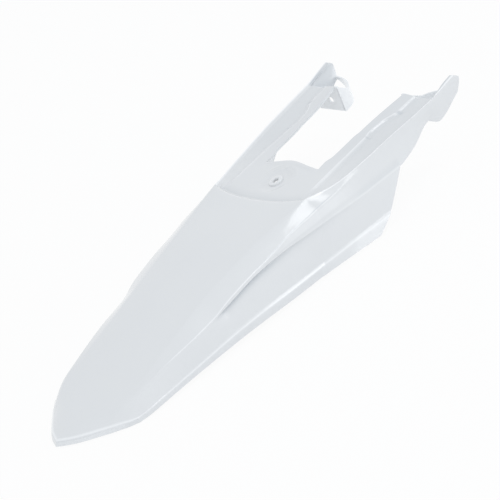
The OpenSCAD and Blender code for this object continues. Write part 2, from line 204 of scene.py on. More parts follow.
# %% [markdown]
# ## Middle, inner edge and bead
# These three guides lie on the smooth top of the tail, drop down the step, and go on along
# the seat deck. The inner edge then runs along the gap between the arms, and the bead is
# the small ridge between the flat inside of an arm and its channel.

# %%
def middle(s, low):
    if low:
        return np.array([0, mix(tail_len + step_run, tongue_y, s - 1),
                         arm_z(guide([[1, 0], [1.51, 0.142], [2, 0.372]], s)) - deck_drop])
    return top_at(0, tail_len * s)


def inner_x(s):
    return notch_w / 2 + guide([[2, 0], [2.27, 0], [2.3, 3], [2.77, 4], [3.02, 4.5], [3.05, 6],
                                [3.3, 6.8], [3.62, 9.5], [4, 16.5]], s)


def inner(s, low):
    x0 = tail_w * 0.12
    y = place_y(arm_stations(x0, notch_w / 2, -5), s)
    if low:
        z = arm_z(guide([[1, -0.019], [1.53, 0.106], [2, 0.248], [2.28, 0.327], [2.77, 0.442],
                         [3.27, 0.593], [3.62, 0.708], [4, 0.885]], s)) - deck_drop
        return np.array([inner_x(s), y + step_run * max(0, 2 - s), z])
    return top_at(mix(x0, notch_w / 2, s ** 3), y)


def bead_x(s):
    return deck_w / 2 - bead_in - guide([[1, 0], [2, 0.5], [2.84, 2], [3.06, 2.5], [3.1, 5],
                                         [3.4, 1.5], [3.5, -2], [3.56, -7], [4, -10.5]], s)


def bead(s, low):
    x0, x1 = tail_w * 0.22, bead_x(1)
    y = place_y(arm_stations(x0, x1, -1), s)
    if low:
        z = arm_z(guide([[1, 0.019], [1.41, 0.106], [2, 0.254], [2.84, 0.411], [3.09, 0.478],
                         [3.52, 0.619], [4, 0.787]], s)) - deck_drop
        return np.array([bead_x(s), y + step_run * max(0, 2 - s), z])
    return top_at(mix(x0, x1, s ** 3), y)


def channel_floor(s, low, outer):
    b, r = bead(s, low), ridge(s)
    if outer and s > 4:
        e = ease(4, 4.7, s)
        return r - [mix(ridge_run, tip_band, e), 0, mix(channel_d, 0.25 * channel_d, e)]
    t = ridge_run / (r[0] - b[0])
    t = 1 - t if outer else t
    p = mix(b, r, t)
    if not low:
        return top_at(p[0], p[1])
    depth = ease(1, 1.35, s) * channel_d
    if outer:
        depth = max(depth, deck_drop * (1 - ease(1, 1.5, s)))
    return p - [0, 0, depth]


print("arm's inner edge at the tongue:", [round(float(v), 1) for v in inner(2, 1)])

# %% [markdown]
# ## The flank
# Two creases run along the side. They lie together near the tail and part where the long
# recess starts, so the slit in the side panel is real depth; painted shade from the marks
# further on makes it darker still.
# Below them a narrow lip runs round the whole rim and stiffens it.

# %%
def crease(s):
    y = place_y(arm_stations(tail_w * 0.395, deck_w / 2, 5), s)
    if s < 2:
        x = rim_x(s) * guide([[0, 0.79], [0.09, 0.821], [0.19, 0.833], [0.28, 0.871],
                              [0.35, 0.896], [0.47, 0.908], [0.53, 0.926], [0.66, 0.928],
                              [0.87, 0.923], [1.12, 0.924], [1.48, 0.915], [2, 0.907]], s)
    else:
        x = ridge_x(s) + guide([[2, 2], [2.16, 1.2], [2.79, 0.3], [3.05, 0.2], [4, 0],
                                [5, -0.3]], s)
    if s < 1:
        z = deck_rise * guide([[0, 0.12], [0.09, 0.255], [0.19, 0.357], [0.28, 0.418],
                               [0.35, 0.457], [0.47, 0.525], [0.53, 0.607], [0.66, 0.709],
                               [0.77, 0.768], [0.87, 0.84], [1, 0.885]], s)
    elif s < 3:
        z = arm_z(guide([[1, -0.433], [1.12, -0.377], [1.48, -0.277], [2.16, -0.058],
                         [2.79, 0.165], [3, 0.239]], s))
    else:
        z = ridge_z(s) - 3.5 - 0.4 * tip_cut * ease(4, 5, s)
    return np.array([x, y, z])


def edge(s):
    y = place_y([tail_y(tail_w * 0.414), tail_len + 11, tongue_y - 3, side_y, shelf_y + 2,
                 front_y - tip_cut * 0.65], s)
    if s < 3:
        x = rim_x(s) * guide([[0, 0.828], [0.08, 0.861], [0.18, 0.867], [0.28, 0.892],
                              [0.35, 0.911], [0.47, 0.911], [0.54, 0.928], [0.67, 0.937],
                              [0.82, 0.932], [0.98, 0.951], [1.2, 0.955], [2, 0.951],
                              [3, 0.941]], s)
        z = deck_rise * guide([[0, 0.105], [0.08, 0.214], [0.18, 0.3], [0.28, 0.377],
                               [0.35, 0.433], [0.47, 0.515], [0.54, 0.571], [0.67, 0.676],
                               [0.82, 0.706], [0.98, 0.685], [1.2, 0.686], [2, 0.672],
                               [3, 0.677]], s)
    else:
        x = ridge_x(s) - mix(ridge_x(3) - rim_x(3) * 0.941, 2 * wall_lean, ease(3, 4, s))
        z = ridge_z(s) - guide([[3, arm_wall], [3.4, mix(arm_wall, arm_neck, 0.4)],
                                [3.8, arm_neck], [4, horn_wall], [5, horn_tip]], s)
    return np.array([x, y, z])


def lip(s):
    y = place_y([tail_y(tail_w * 0.477), foot_len * 0.82, foot_len * 0.94,
                 mix(foot_len, side_y, 0.39)], s)
    return np.array([rim_x(s) - lip_out - 2.5 * (1 - ease(0, 0.04, s)), y, rim_z(s) + lip_h(s)])


def rim(s):
    y = place_y([tail_y(tail_w / 2) - 1, foot_len * 0.793, foot_len * 0.894, foot_len], s)
    return np.array([rim_x(s), y, rim_z(s)])


def recess(s):
    """How deep the slit is at a station, from 0 to 1."""
    y = edge(s)[1]
    return ease(0.455, 0.53, s) * (1 - ease(tail_len * 0.7, tongue_y + 20, y))


def step_foot(s):
    return mix(edge(s), lip(s), 0.08) - [recess_d * recess(s), 0, 0]


print("front foot of the flank:", [round(float(v), 1) for v in rim(3)])

# %% [markdown]
# ## One row across the fender
# A row passes through all guides. Between two guides it is a cubic curve. A fold weight
# of 0 lets the curve run smoothly through the guide, and 1 makes a corner there. Modelling
# by hand with creased edges could look alike, but the rule keeps both halves the same.

# %%
parts = [5, 2, 1, 2, 1, 4, 2, 1, 4, 2]
reach = [2, 4, 4, 4, 5, 5, 5, 3, 3, 3]
ridge_col = sum(parts[:5])
cols = sum(parts)
tail_rows = [0, 0.012, 0.03, 0.055, 0.09, 0.13, 0.175, 0.22, 0.27, 0.32, 0.365, 0.41, 0.455, 0.47,
             0.51, 0.55, 0.6, 0.65, 0.7, 0.75, 0.8, 0.85, 0.9, 0.95, 1]
low_rows = [1.025, 1.12, 1.25, 1.4, 1.6, 1.8, 2, 2.15, 2.27, 2.3, 2.5, 2.75, 3, 3.05, 3.1, 3.25,
            3.4, 3.5, 3.56, 3.68, 3.8, 3.9, 4, 4.2, 4.45, 4.7, 5]
rows = [(s, 0) for s in tail_rows] + [(s, 1) for s in low_rows]
deck_row = 1 + len(tail_rows)


def rails(s, low):
    """The points of all guides at one station; low is 1 on the deck and arms, 0 on the tail."""
    points = [middle(s, low), inner(s, low), bead(s, low), channel_floor(s, low, False),
              channel_floor(s, low, True), ridge(s), crease(s), edge(s), step_foot(s), lip(s)]
    if not low:
        g = 1 - (1 - min(1, s / 0.07)) ** 2
        points = [np.array([p[0], p[1], mix(rim_z(0) + lip_tail, p[2], g)]) for p in points]
    return np.array(points + [rim(s)])


def folds(s, low):
    start = ease(0.45, 0.46, s)
    return [1 - ease(0, 0.1, s), 0, low, low, low, mix(0.4, 1, ease(0.85, 1.35, s)),
            ease(0.1, 0.2, s) * (1 - ease(2.4, 2.8, s)), start, start, 1, 1]


def half_row(s, low, steps):
    """steps holds, for each strip between two guides, the places of its points."""
    p, f = rails(s, low), folds(s, low)
    d = p[1:] - p[:-1]
    h = np.linalg.norm(d, axis=1)
    dirs = [np.array([1.0, 0, 0])]
    for i in range(1, len(p) - 1):
        a, b = h[i - 1], h[i]
        dirs.append((d[i - 1] * b / a + d[i] * a / b) / (a + b))
    out = [p[0]]
    for i, places in enumerate(steps):
        ta = mix(dirs[i] * h[i], d[i], f[i])
        tb = mix(dirs[i + 1] * h[i], d[i], f[i + 1]) if i < len(steps) - 1 else d[i]
        out += [blend(p[i], p[i + 1], ta, tb, t) for t in places]
    return np.array(out)


def rim_row(first, share):
    """The rim under the pointed tail edge; share is 0 in the middle and 1 at the corner."""
    c = first[-1] - [0.7, 2.2, 0]
    near = [np.array([p[0] + lip_out * min(1, p[0] / 12), p[1] - lip_set + t, c[2] * t])
            for p, t in zip(first, share) if t <= 1]
    last = near[-1]
    return np.array(near + [mix(last, c, t - 1) for t in share if t > 1])


edge_cols = cols - parts[9]


def edge_share(col):
    """0 in the middle of the tail edge, 1 at its corner and 2 at the end of the rim's strip."""
    return col / edge_cols if col <= edge_cols else 1 + (col - edge_cols) / parts[9]


plain = [[(k + 1) / n for k in range(n)] for n in parts]
print("points across one half row in the CAD source:", cols + 1)

# %% [markdown]
# ## The inner side of the wall
# A moulding has a wall of even thickness, so its inner side is the outer side moved inwards.
# The Solidify modifier does this, but at the sharp ridge of the arms it would cut through
# the channel. So each point gets its own depth here, with the fold taken into account.

# %%
def mirrored(half):
    left = half[:0:-1].copy()
    left[:, 0] *= -1
    return np.vstack([left, half])


first = half_row(0, 0, plain)
halves = [rim_row(first, [edge_share(j) for j in range(cols + 1)])]
halves += [half_row(s, low, plain) for s, low in rows]
coarse = np.array([mirrored(h) for h in halves])
n_rows, n_cols = coarse.shape[:2]
strip_of = [k for k, n in enumerate(parts) for _ in range(n)]
col_reach = [reach[k] for k in strip_of[::-1] + strip_of]
least_cos, ridge_cos = 0.7, 0.4
lift_cols, lift_fall, lift_share = 6, 0.3, 0.03


def solid(i, j):
    """Says whether a cell of the coarse grid holds plastic."""
    if not (0 <= i < n_rows - 1 and 0 <= j < n_cols - 1):
        return False
    return i == 0 or rows[i][0] <= col_reach[j] + 0.001


def is_low(i):
    return i >= deck_row


def unit(v):
    n = np.linalg.norm(v)
    return v / n if n > 0 else v


def facing(i, j):
    return unit(np.cross(coarse[i][j + 1] - coarse[i + 1][j], coarse[i + 1][j + 1] - coarse[i][j]))


face = {(i, j): facing(i, j) for i in range(n_rows - 1) for j in range(n_cols - 1) if solid(i, j)}


def around(i, j):
    return [face[a, b] for a in (i - 1, i) for b in (j - 1, j) if (a, b) in face]


def strip_way(i, j):
    return unit(sum([face[a, j] for a in (i - 1, i) if (a, j) in face], np.zeros(3)))


def inward(i, j):
    """The way from a point of the outer side to the inner side, longer where the wall folds."""
    near = around(i, j)
    if not near:
        return np.array([0, 0, -wall])
    least = ridge_cos if is_low(i) and abs(j - cols) == ridge_col else least_cos
    u = unit(strip_way(i, j - 1) + strip_way(i, j))
    return -u * wall / max(least, min(float(u @ n) for n in near))


depth = np.array([[inward(i, j) for j in range(n_cols)] for i in range(n_rows)])


def eased(i, j):
    """The way inwards, averaged with the columns beside it, but not next to the arm's ridge."""
    c = abs(j - cols)
    by_ridge = is_low(i) and abs(c - ridge_col) < 2
    if c > cols - 2 or by_ridge or not around(i, j - 1) or not around(i, j + 1):
        return depth[i][j]
    if is_low(i):
        return (depth[i][j - 1] + 2 * depth[i][j] + depth[i][j + 1]) / 4
    near = depth[i][j - 1] + depth[i][j] + depth[i][j + 1]
    return (depth[i][j - 2] + 2 * near + depth[i][j + 2]) / 8


def lining_point(i, j):
    """Just outside an arm's ridge, a point that would lie too high goes close to the fold."""
    k, p = abs(j - cols) - ridge_col, coarse[i][j] + eased(i, j)
    if not is_low(i) or k <= 0 or k >= lift_cols:
        return p
    side = -1 if j < cols else 1
    a_col, b_col = cols + side * ridge_col, cols + side * (ridge_col + lift_cols)
    a = coarse[i][a_col] + eased(i, a_col)
    b = coarse[i][b_col] + eased(i, b_col)
    return p if p[2] < a[2] - lift_fall * k else mix(a, b, lift_share * k)


lining = np.array([[lining_point(i, j) for j in range(n_cols)] for i in range(n_rows)])
gap = np.linalg.norm(lining - coarse, axis=2)
print("wall from", round(float(gap.min()), 2), "to", round(float(gap.max()), 2),
      "mm, measured along each point's own way in")

# %% [markdown]
# ## Many rows and soft folds
# The same rule is read again at many more places, closer together near each guide. A few
# rounds of averaging with the neighbours then turn each corner into a radius of about a
# millimetre, which catches the light as a moulded edge does. Borders are left where they are.

# %%
fine = [26, 8, 4, 8, 4, 12, 7, 5, 12, 6]
tail_pitch, deck_pitch, arm_pitch, seam_rows = 4, 1.8, 2.5, 4
steps = [[0.5 - 0.5 * math.cos(math.pi * (k + 1) / n) for k in range(n)] for n in fine]
col_at = [0.0]
for k, places in enumerate(steps):
    col_at += [sum(parts[:k]) + t * parts[k] for t in places]
half_n = len(col_at) - 1
guide_names = ["inner", "bead", "floor in", "floor out", "ridge", "crease", "edge", "step foot",
               "lip", "rim"]
col_of = dict(zip(guide_names, np.cumsum(fine)))
grid, row_at = [], []
for i in range(n_rows - 1):
    low0, low1 = (rows[i - 1][1] if i else 0), rows[i][1]
    s1 = rows[i][0]
    s0 = rows[i - 1][0] if i else None
    if i == 0 or low0 != low1:
        dense_b = half_row(s1, low1, steps)
        if i == 0:
            dense_a = rim_row(dense_b, [edge_share(c) for c in col_at])
        else:
            dense_a = half_row(s0, low0, steps)
        count = seam_rows
        grid += [mix(dense_a, dense_b, k / count) for k in range(count)]
    else:
        run = abs(coarse[i + 1][cols + ridge_col][1] - coarse[i][cols + ridge_col][1])
        pitch = tail_pitch if not low1 else deck_pitch if s1 <= 2 else arm_pitch
        count = max(1, round(run / pitch))
        grid += [half_row(mix(s0, s1, k / count), low1, steps) for k in range(count)]
    row_at += [i + k / count for k in range(count)]
grid.append(half_row(rows[-1][0], 1, steps))
row_at.append(n_rows - 1)
skin = np.array([mirrored(h) for h in grid])
row_at = np.array(row_at)
col_full = np.array([cols - c for c in col_at[:0:-1]] + [cols + c for c in col_at])
R, C = skin.shape[:2]
cell_i = np.minimum(row_at[:-1].astype(int), n_rows - 2)
cell_j = np.minimum(((col_full[:-1] + col_full[1:]) / 2).astype(int), n_cols - 2)
full = np.array([[solid(i, j) for j in cell_j] for i in cell_i])
print("grid of", R, "rows by", C, "columns,", int(full.sum()), "cells of plastic")

# %% [markdown]
# The inner side is read between the points of the coarse one, and both are softened. Along
# the gap between the arms the wall is kept from growing thicker than its size, and the two
# corners of the tail are drawn in a little, so that they look round.

# %%
i0 = np.minimum(row_at.astype(int), n_rows - 2)
j0 = np.minimum(col_full.astype(int), n_cols - 2)
fi, fj = (row_at - i0)[:, None, None], (col_full - j0)[None, :, None]
corner = lambda a, b: lining[np.ix_(i0 + a, j0 + b)]
inside = mix(mix(corner(0, 0), corner(0, 1), fj), mix(corner(1, 0), corner(1, 1), fj), fi)


def soften(points, cells, across, along):
    pad = np.zeros((R + 1, C + 1), bool)
    pad[1:R, 1:C] = cells
    left = pad[:-1, :-1] | pad[1:, :-1]
    right = pad[:-1, 1:] | pad[1:, 1:]
    behind = pad[:-1, :-1] | pad[:-1, 1:]
    ahead = pad[1:, :-1] | pad[1:, 1:]
    p = points.copy()
    for axis, rounds, free in ((1, across, left & right), (0, along, behind & ahead)):
        for _ in range(rounds):
            mean = 0.25 * np.roll(p, 1, axis) + 0.5 * p + 0.25 * np.roll(p, -1, axis)
            p = np.where(free[:, :, None], mean, p)
    return p


skin = soften(skin, full, 3, 2)
inside = soften(inside, full, 6, 4)
way = inside - skin
length = np.linalg.norm(way, axis=2, keepdims=True)
near_gap = abs(np.arange(C) - half_n) <= col_of["inner"] + 2
by_edge = near_gap[None, :, None] & (row_at > deck_row)[:, None, None]
thickest = 1.15 * wall
inside = np.where(by_edge, skin + way * np.minimum(1, thickest / np.maximum(length, wall)), inside)
heel_at, inwards, round_run, round_in = rim(0)[:2], np.array([-0.91, 0.4]), 22, 2.8
for side in (skin, inside):
    for sign in (-1, 1):
        off = side[:, :, :2] * [sign, 1] - heel_at
        near = np.clip(1 - np.linalg.norm(off, axis=2) / round_run, 0, 1) ** 2 * round_in
        side[:, :, 0] += sign * inwards[0] * near
        side[:, :, 1] += inwards[1] * near
print("softened", R * C, "points on each side of the wall, corners of the tail rounded")

# %% [markdown]
# ## Relief of the seat deck
# The deck carries a shallow round dish where the bolt's collar sits, two low rings in front
# of it and a raised band along the front of the tongue. All are about a millimetre deep, so
# they move points of the skin up or down instead of being modelled as separate pieces.

# %%
seat_y = tongue_y - seat_bore_back
seat_z = float(middle(2 - seat_bore_back / deck_len, 1)[2])
a, b = middle(1.5, 1), middle(2, 1)
seat_tilt = math.atan2(b[2] - a[2], b[1] - a[1])
band_h, ring_h, dish_d, collar_hole = 0.9, 0.9, 1.1, 6.5
ring_radii, ring_soft = (24, 28.5), 1.1


def soft_step(a, b, x):
    t = np.clip((x - a) / (b - a), 0, 1)
    return t * t * (3 - 2 * t)


on_deck = (row_at >= deck_row)[:, None] & (skin[:, :, 1] < tongue_y + 1)
x, y = skin[:, :, 0].copy(), skin[:, :, 1].copy()
front_edge = tongue_y - 5 * (x / (notch_w / 2)) ** 2
reach_in = np.hypot(x, y - seat_y)
band = (1 - soft_step(4.5, 7.5, front_edge - y)) * (1 - soft_step(40, 47, np.abs(x)))
dish = soft_step(19, 21.5, reach_in)
ahead_of_bolt = soft_step(0.2, 0.6, (y - seat_y) / np.maximum(reach_in, 1))
ring = sum(np.exp(-((reach_in - r) / ring_soft) ** 2) for r in ring_radii) * ahead_of_bolt
skin[:, :, 2] += np.where(on_deck, band_h * band + ring_h * ring - dish_d * (1 - dish), 0)
mid_x = (x[:-1, :-1] + x[1:, 1:]) / 2
mid_y = (y[:-1, :-1] + y[1:, 1:]) / 2
full &= np.hypot(mid_x, mid_y - seat_y) > collar_hole
print("deepest relief of the deck:", dish_d, "mm, seat bolt at", [0, seat_y, round(seat_z, 1)],
      "tilted", round(math.degrees(seat_tilt), 1), "degrees")

# %% [markdown]
# ## Raised bead and stepped lip
# A narrow bead runs along each arm, broken by two small notches for a tie, and the lip stands
# a little proud of the side panel, so its upper edge catches the light. Each follows one
# column of the grid, so its height is added to the points of that column and its neighbours.

# %%
bead_rise, lip_rise, lip_cols = 0.6, 0.9, 8
notch_at, notch_half, flank_end = np.array([558, 613]), 2.2, 3.02
stations = [0] + [s for s, _ in rows]
s_row = np.interp(row_at, range(len(stations)), stations)
on_arm = row_at >= deck_row
bead_y = skin[:, half_n + col_of["bead"], 1]
notched = np.abs(bead_y[:, None] - notch_at).min(axis=1) < notch_half
bead_h = on_arm * soft_step(1.3, 1.5, s_row) * np.where(notched, 0.1, 1.0)
for side in (-1, 1):
    at = half_n + side * col_of["bead"]
    for near, share in ((0, 1), (-1, 0.5), (1, 0.5)):
        skin[:, at + near, 2] += share * bead_rise * bead_h
    for k in range(1, lip_cols):
        share = soft_step(lip_cols, 1, k)
        skin[:, half_n + side * (col_of["lip"] - k), 0] -= side * lip_rise * share
print("bead of", bead_rise, "mm with", len(notch_at), "notches on each arm, lip", lip_rise,
      "mm proud")

# %% [markdown]
# ## Marks for the material: painted highlights
# Numbers on each point tell the material where it is. The first is a painted highlight, a
# brighter white along the thin edges and on the strip between the crease and the edge of
# the side panel. A mark is raised along whole columns, so it follows the guides.

# %%
def raise_mark(marks, columns, value):
    """Raises a mark to a value along columns of both halves, counted from the middle."""
    for k in columns:
        for at in (half_n - k, half_n + k):
            marks[:, at] = np.maximum(marks[:, at], value)


painted_highlight, painted_shade, grain = np.zeros((R, C)), np.zeros((R, C)), np.zeros((R, C))
narrow, broad = {0: 1, -1: 0.3, 1: 0.3}, {0: 1, -1: 0.7, 1: 1, 2: 1, 3: 0.6}
crease_line = soft_step(0.2, 0.3, s_row) * (
    1 - 0.6 * soft_step(0.6, 0.9, s_row) - 0.4 * soft_step(1.1, 1.4, s_row))
edge_line = 0.35 * soft_step(0.55, 0.7, s_row) * (s_row < flank_end)
lip_highlight, tail_dim, rim_dim, tip_shade = 0.85, 0.1, 0.04, 0.8
# painted highlight: thin brighter lines along the ridge of each arm, the bead, the crease, the lip
# and the panel's edge
for name, strength, spread in (("ridge", np.where(on_arm, 1.0, 0), broad),
                               ("bead", 0.75 * bead_h, narrow),
                               ("crease", crease_line, narrow),
                               ("lip", np.where(row_at >= 1, lip_highlight, 0), narrow),
                               ("edge", edge_line, narrow)):
    for near, share in spread.items():
        raise_mark(painted_highlight, [col_of[name] + near], strength * share)
tail_row = int(np.searchsorted(row_at, 1))
# painted highlight along the lip under the tail edge
painted_highlight[tail_row, half_n - col_of["lip"]:half_n + col_of["lip"] + 1] = lip_highlight
# painted highlight on the strip between the crease and the edge of the side panel
strip_highlight = 0.35 * soft_step(0.72, 0.9, s_row) * (1 - soft_step(1.3, 2.1, s_row))
raise_mark(painted_highlight, [col_of["crease"] + k for k in (2, 3, 4)], strip_highlight)
print("points with a bright edge:", int((painted_highlight > 0.3).sum()))

# %% [markdown]
# ## Marks for the material: painted shade and rough places
# The second mark is painted shade: it darkens the slit, the seat deck, the front of the
# channels, the notches, the top strip of each front end, a line beside the crease, the lip
# strip and the band under the tail edge. Grain lies on the rough floor of the channels, and
# tip is painted shade on the inner side of the front ends, where it also takes away most of
# their painted light.

# %%
# painted shade in the slit under the side panel's edge and on the rows below it
slit = np.array([recess(v) for v in s_row]) * (row_at >= 1)
raise_mark(painted_shade, range(col_of["edge"] + 2, col_of["step foot"] + 1),
           0.75 * slit * (1 - 0.6 * soft_step(0.62, 0.85, s_row)))
for k, share in ((1, 0.5), (2, 0.3), (3, 0.1)):
    raise_mark(painted_shade, [col_of["step foot"] + k],
               slit * share * (1 - 0.6 * soft_step(0.7, 0.9, s_row)))
# painted shade just above the panel's edge near the front, and a dark painted line beside the
# crease
for k, share in ((1, 0.2), (2, 0.1)):
    raise_mark(painted_shade, [col_of["edge"] - k], share * soft_step(1.7, 2.1, s_row) * (s_row < flank_end))
raise_mark(painted_shade, [col_of["crease"] - 1],
           0.4 * soft_step(0.62, 0.75, s_row) * (1 - soft_step(1.2, 1.7, s_row)))
# painted shade on the lip strip and the rim
raise_mark(painted_shade, range(col_of["lip"] + 1, half_n + 1), rim_dim)
# painted shade on the inner part of each arm towards the front, and in the bead's notches
raise_mark(painted_shade, range(col_of["inner"], col_of["floor out"]),
           0.08 * soft_step(1.7, 2, s_row) + 0.1 * soft_step(2, 2.7, s_row))
raise_mark(painted_shade, range(col_of["bead"] + 1, col_of["floor in"] + 2), 0.5 * notched * on_arm)
# painted shade on the top strip of each front end
raise_mark(painted_shade, range(col_of["floor out"], col_of["ridge"] - 1),
           0.6 * soft_step(3.98, 4.02, s_row) * (1 - 0.5 * soft_step(4.3, 4.9, s_row)))
raise_mark(grain, range(col_of["floor in"], col_of["floor out"] + 1), on_arm)
# painted shade on the band under the tail edge; tip is painted shade on the front ends' inner side
painted_shade[:tail_row, :] = tail_dim
tip = tip_shade * soft_step(3.95, 4.05, s_row)[:, None] * np.ones(C)
# painted shade on the seat deck, deepest just behind its step
step_y = tail_len + step_bow * (x / (deck_w / 2)) ** 2
deck_edge, deck_shade, step_shade = 8, 0.03, 0.2
deck_dim = deck_shade + step_shade * (1 - soft_step(4, 22, y - step_y))
painted_shade = np.maximum(painted_shade, np.where(on_deck & (np.abs(x) < deck_w / 2 - deck_edge), deck_dim, 0))
print("points with a shaded mark:", int((painted_shade > 0.3).sum()))

# %% [markdown]
# ## Standing it up
# The photograph's part stands on the corners of its tail and the feet of its flanks. One
# small turn about the X axis puts those four points on the floor, as in the CAD source.

# %%
foot, heel = rim(3), rim(0)
stand = math.atan2(foot[2] - heel[2], foot[1] - heel[1])
shape = np.array([p for i in range(n_rows) for j in range(n_cols) if around(i, j)
                  for p in (coarse[i][j], lining[i][j])])
run_y = shape[:, 1] * math.cos(stand) + shape[:, 2] * math.sin(stand)
run_z = shape[:, 2] * math.cos(stand) - shape[:, 1] * math.sin(stand)
mid_run, low_z = (run_y.min() + run_y.max()) / 2, run_z.min()


def placed(p):
    """From the frame of the sizes, in millimetres, to the standing part's, in metres."""
    p = np.asarray(p, float)
    y = p[..., 1] * math.cos(stand) + p[..., 2] * math.sin(stand) - mid_run
    z = -p[..., 1] * math.sin(stand) + p[..., 2] * math.cos(stand) - low_z
    return np.stack([p[..., 0], y, z], axis=-1) / 1000


print("turned by", round(math.degrees(stand), 2), "degrees to stand")

# %% [markdown]
# ## From one skin to a closed wall
# Geometry Nodes turn the open skin into a closed wall. The tree moves a copy of the skin by
# each point's own depth, turns that copy's faces over, draws the open borders out to meet it
# and merges the seams. Its one size, Wall share, scales the wall and stays easy to try out.

# %%
def mesh_object(name, points, faces):
    mesh = bpy.data.meshes.new(name)
    mesh.from_pydata([tuple(p) for p in points], [], [tuple(f) for f in faces])
    mesh.update()
    obj = bpy.data.objects.new(name, mesh)
    bpy.context.collection.objects.link(obj)
    return obj


seam_gap = 0.000002


def wall_tree(material):
    tree = bpy.data.node_groups.new("moulded_wall", "GeometryNodeTree")
    face_in = tree.interface
    face_in.new_socket("Geometry", in_out="INPUT", socket_type="NodeSocketGeometry")
    share = face_in.new_socket("Wall share", in_out="INPUT", socket_type="NodeSocketFloat")
    share.default_value = 1.0
    face_in.new_socket("Geometry", in_out="OUTPUT", socket_type="NodeSocketGeometry")
    new, link = tree.nodes.new, tree.links.new
    src, out = new("NodeGroupInput"), new("NodeGroupOutput")
    way = new("GeometryNodeInputNamedAttribute")
    way.data_type = "FLOAT_VECTOR"
    way.inputs["Name"].default_value = "depth"
    scaled = new("ShaderNodeVectorMath")
    scaled.operation = "SCALE"
    link(way.outputs["Attribute"], scaled.inputs[0])
    link(src.outputs["Wall share"], scaled.inputs["Scale"])
    moved, flip = new("GeometryNodeSetPosition"), new("GeometryNodeFlipFaces")
    link(src.outputs["Geometry"], moved.inputs["Geometry"])
    link(scaled.outputs["Vector"], moved.inputs["Offset"])
    mark = new("GeometryNodeStoreNamedAttribute")
    mark.data_type, mark.domain = "FLOAT", "POINT"
    mark.inputs["Name"].default_value = "inside"
    mark.inputs["Value"].default_value = 1.0
    link(moved.outputs["Geometry"], mark.inputs["Geometry"])
    link(mark.outputs["Geometry"], flip.inputs["Mesh"])
    sides = new("GeometryNodeInputMeshEdgeNeighbors")
    is_border = new("FunctionNodeCompare")
    is_border.data_type, is_border.operation = "INT", "EQUAL"
    is_border.inputs[3].default_value = 1
    link(sides.outputs["Face Count"], is_border.inputs[2])
    drawn, pulled = new("GeometryNodeExtrudeMesh"), new("GeometryNodeSetPosition")
    drawn.mode = "EDGES"
    drawn.inputs["Offset Scale"].default_value = 0.0
    link(src.outputs["Geometry"], drawn.inputs["Mesh"])
    link(is_border.outputs["Result"], drawn.inputs["Selection"])
    link(drawn.outputs["Mesh"], pulled.inputs["Geometry"])
    link(drawn.outputs["Top"], pulled.inputs["Selection"])
    link(scaled.outputs["Vector"], pulled.inputs["Offset"])
    join, merge = new("GeometryNodeJoinGeometry"), new("GeometryNodeMergeByDistance")
    link(pulled.outputs["Geometry"], join.inputs["Geometry"])
    link(flip.outputs["Mesh"], join.inputs["Geometry"])
    link(join.outputs["Geometry"], merge.inputs["Geometry"])
    merge.inputs["Distance"].default_value = seam_gap
    real, paint = new("GeometryNodeRealizeInstances"), new("GeometryNodeSetMaterial")
    paint.inputs["Material"].default_value = material
    link(merge.outputs["Geometry"], real.inputs["Geometry"])
    link(real.outputs["Geometry"], paint.inputs["Geometry"])
    link(paint.outputs["Geometry"], out.inputs["Geometry"])
    return tree, share.identifier


def faces_out(mesh):
    """Turns all faces outwards. Returns the number of open edges and the volume."""
    work = bmesh.new()
    work.from_mesh(mesh)
    open_edges = sum(1 for e in work.edges if len(e.link_faces) != 2)
    bmesh.ops.recalc_face_normals(work, faces=work.faces)
    work.to_mesh(mesh)
    volume = work.calc_volume()
    work.free()
    return open_edges, volume


def write_mark(obj, name, values):
    mark = obj.data.attributes.new(name, "FLOAT", "POINT")
    mark.data.foreach_set("value", np.asarray(values, np.float32))


def baked(obj):
    """The object's mesh with its modifiers applied, as a plain mesh."""
    graph = bpy.context.evaluated_depsgraph_get()
    mesh = bpy.data.meshes.new_from_object(obj.evaluated_get(graph), depsgraph=graph)
    obj.modifiers.clear()
    old, obj.data = obj.data, mesh
    bpy.data.meshes.remove(old)
    return obj


plastic = bpy.data.materials.new("glossy_white_plastic")
used = np.full((R, C), -1)
faces = [(i, j) for i in range(R - 1) for j in range(C - 1) if full[i, j]]
for i, j in faces:
    for v in ((i, j), (i + 1, j), (i + 1, j + 1), (i, j + 1)):
        used[v] = 1
used[used == 1] = np.arange((used == 1).sum())
outer, inner_side = placed(skin), placed(inside)
half_len = (run_y.max() - run_y.min()) / 2000
for side in (outer, inner_side):
    side[:, :, 1] = side[:, :, 1].clip(-half_len, half_len)
shell = mesh_object("fender_moulding", outer[used >= 0],
                    [(used[i, j], used[i, j + 1], used[i + 1, j + 1], used[i + 1, j])
                     for i, j in faces])
way_in = shell.data.attributes.new("depth", "FLOAT_VECTOR", "POINT")
way_in.data.foreach_set("vector", (inner_side - outer)[used >= 0].ravel())
# the marks carry painted highlight and painted shade, grain for the rough channels, and tip
for name, marks in (("painted_highlight", painted_highlight), ("painted_shade", painted_shade), ("grain", grain), ("tip", tip)):
    write_mark(shell, name, marks[used >= 0])
tree, share_id = wall_tree(plastic)
modifier = shell.modifiers.new("moulded wall", "NODES")
modifier.node_group = tree
modifier[share_id] = 1.0
baked(shell)
open_edges, volume = faces_out(shell.data)
print("closed wall:", len(shell.data.polygons), "faces,", open_edges, "open edges, volume",
      round(volume * 1e6), "cm3")

# %% [markdown]
# ## Collar of the seat bolt
# A collar is a turned form, so it is spun from a short profile. Its bore is a real hole
# through the wall. The small radii on the profile take the place of a bevel, and its upper
# edge gets a faint painted highlight.

# %%
def on_deck_frame(p):
    """From the collar's own frame, with its axis along Z, to the body's frame."""
    x, y, z = p
    return np.array([x, seat_y + y * math.cos(seat_tilt) - z * math.sin(seat_tilt),
                     seat_z + y * math.sin(seat_tilt) + z * math.cos(seat_tilt)])


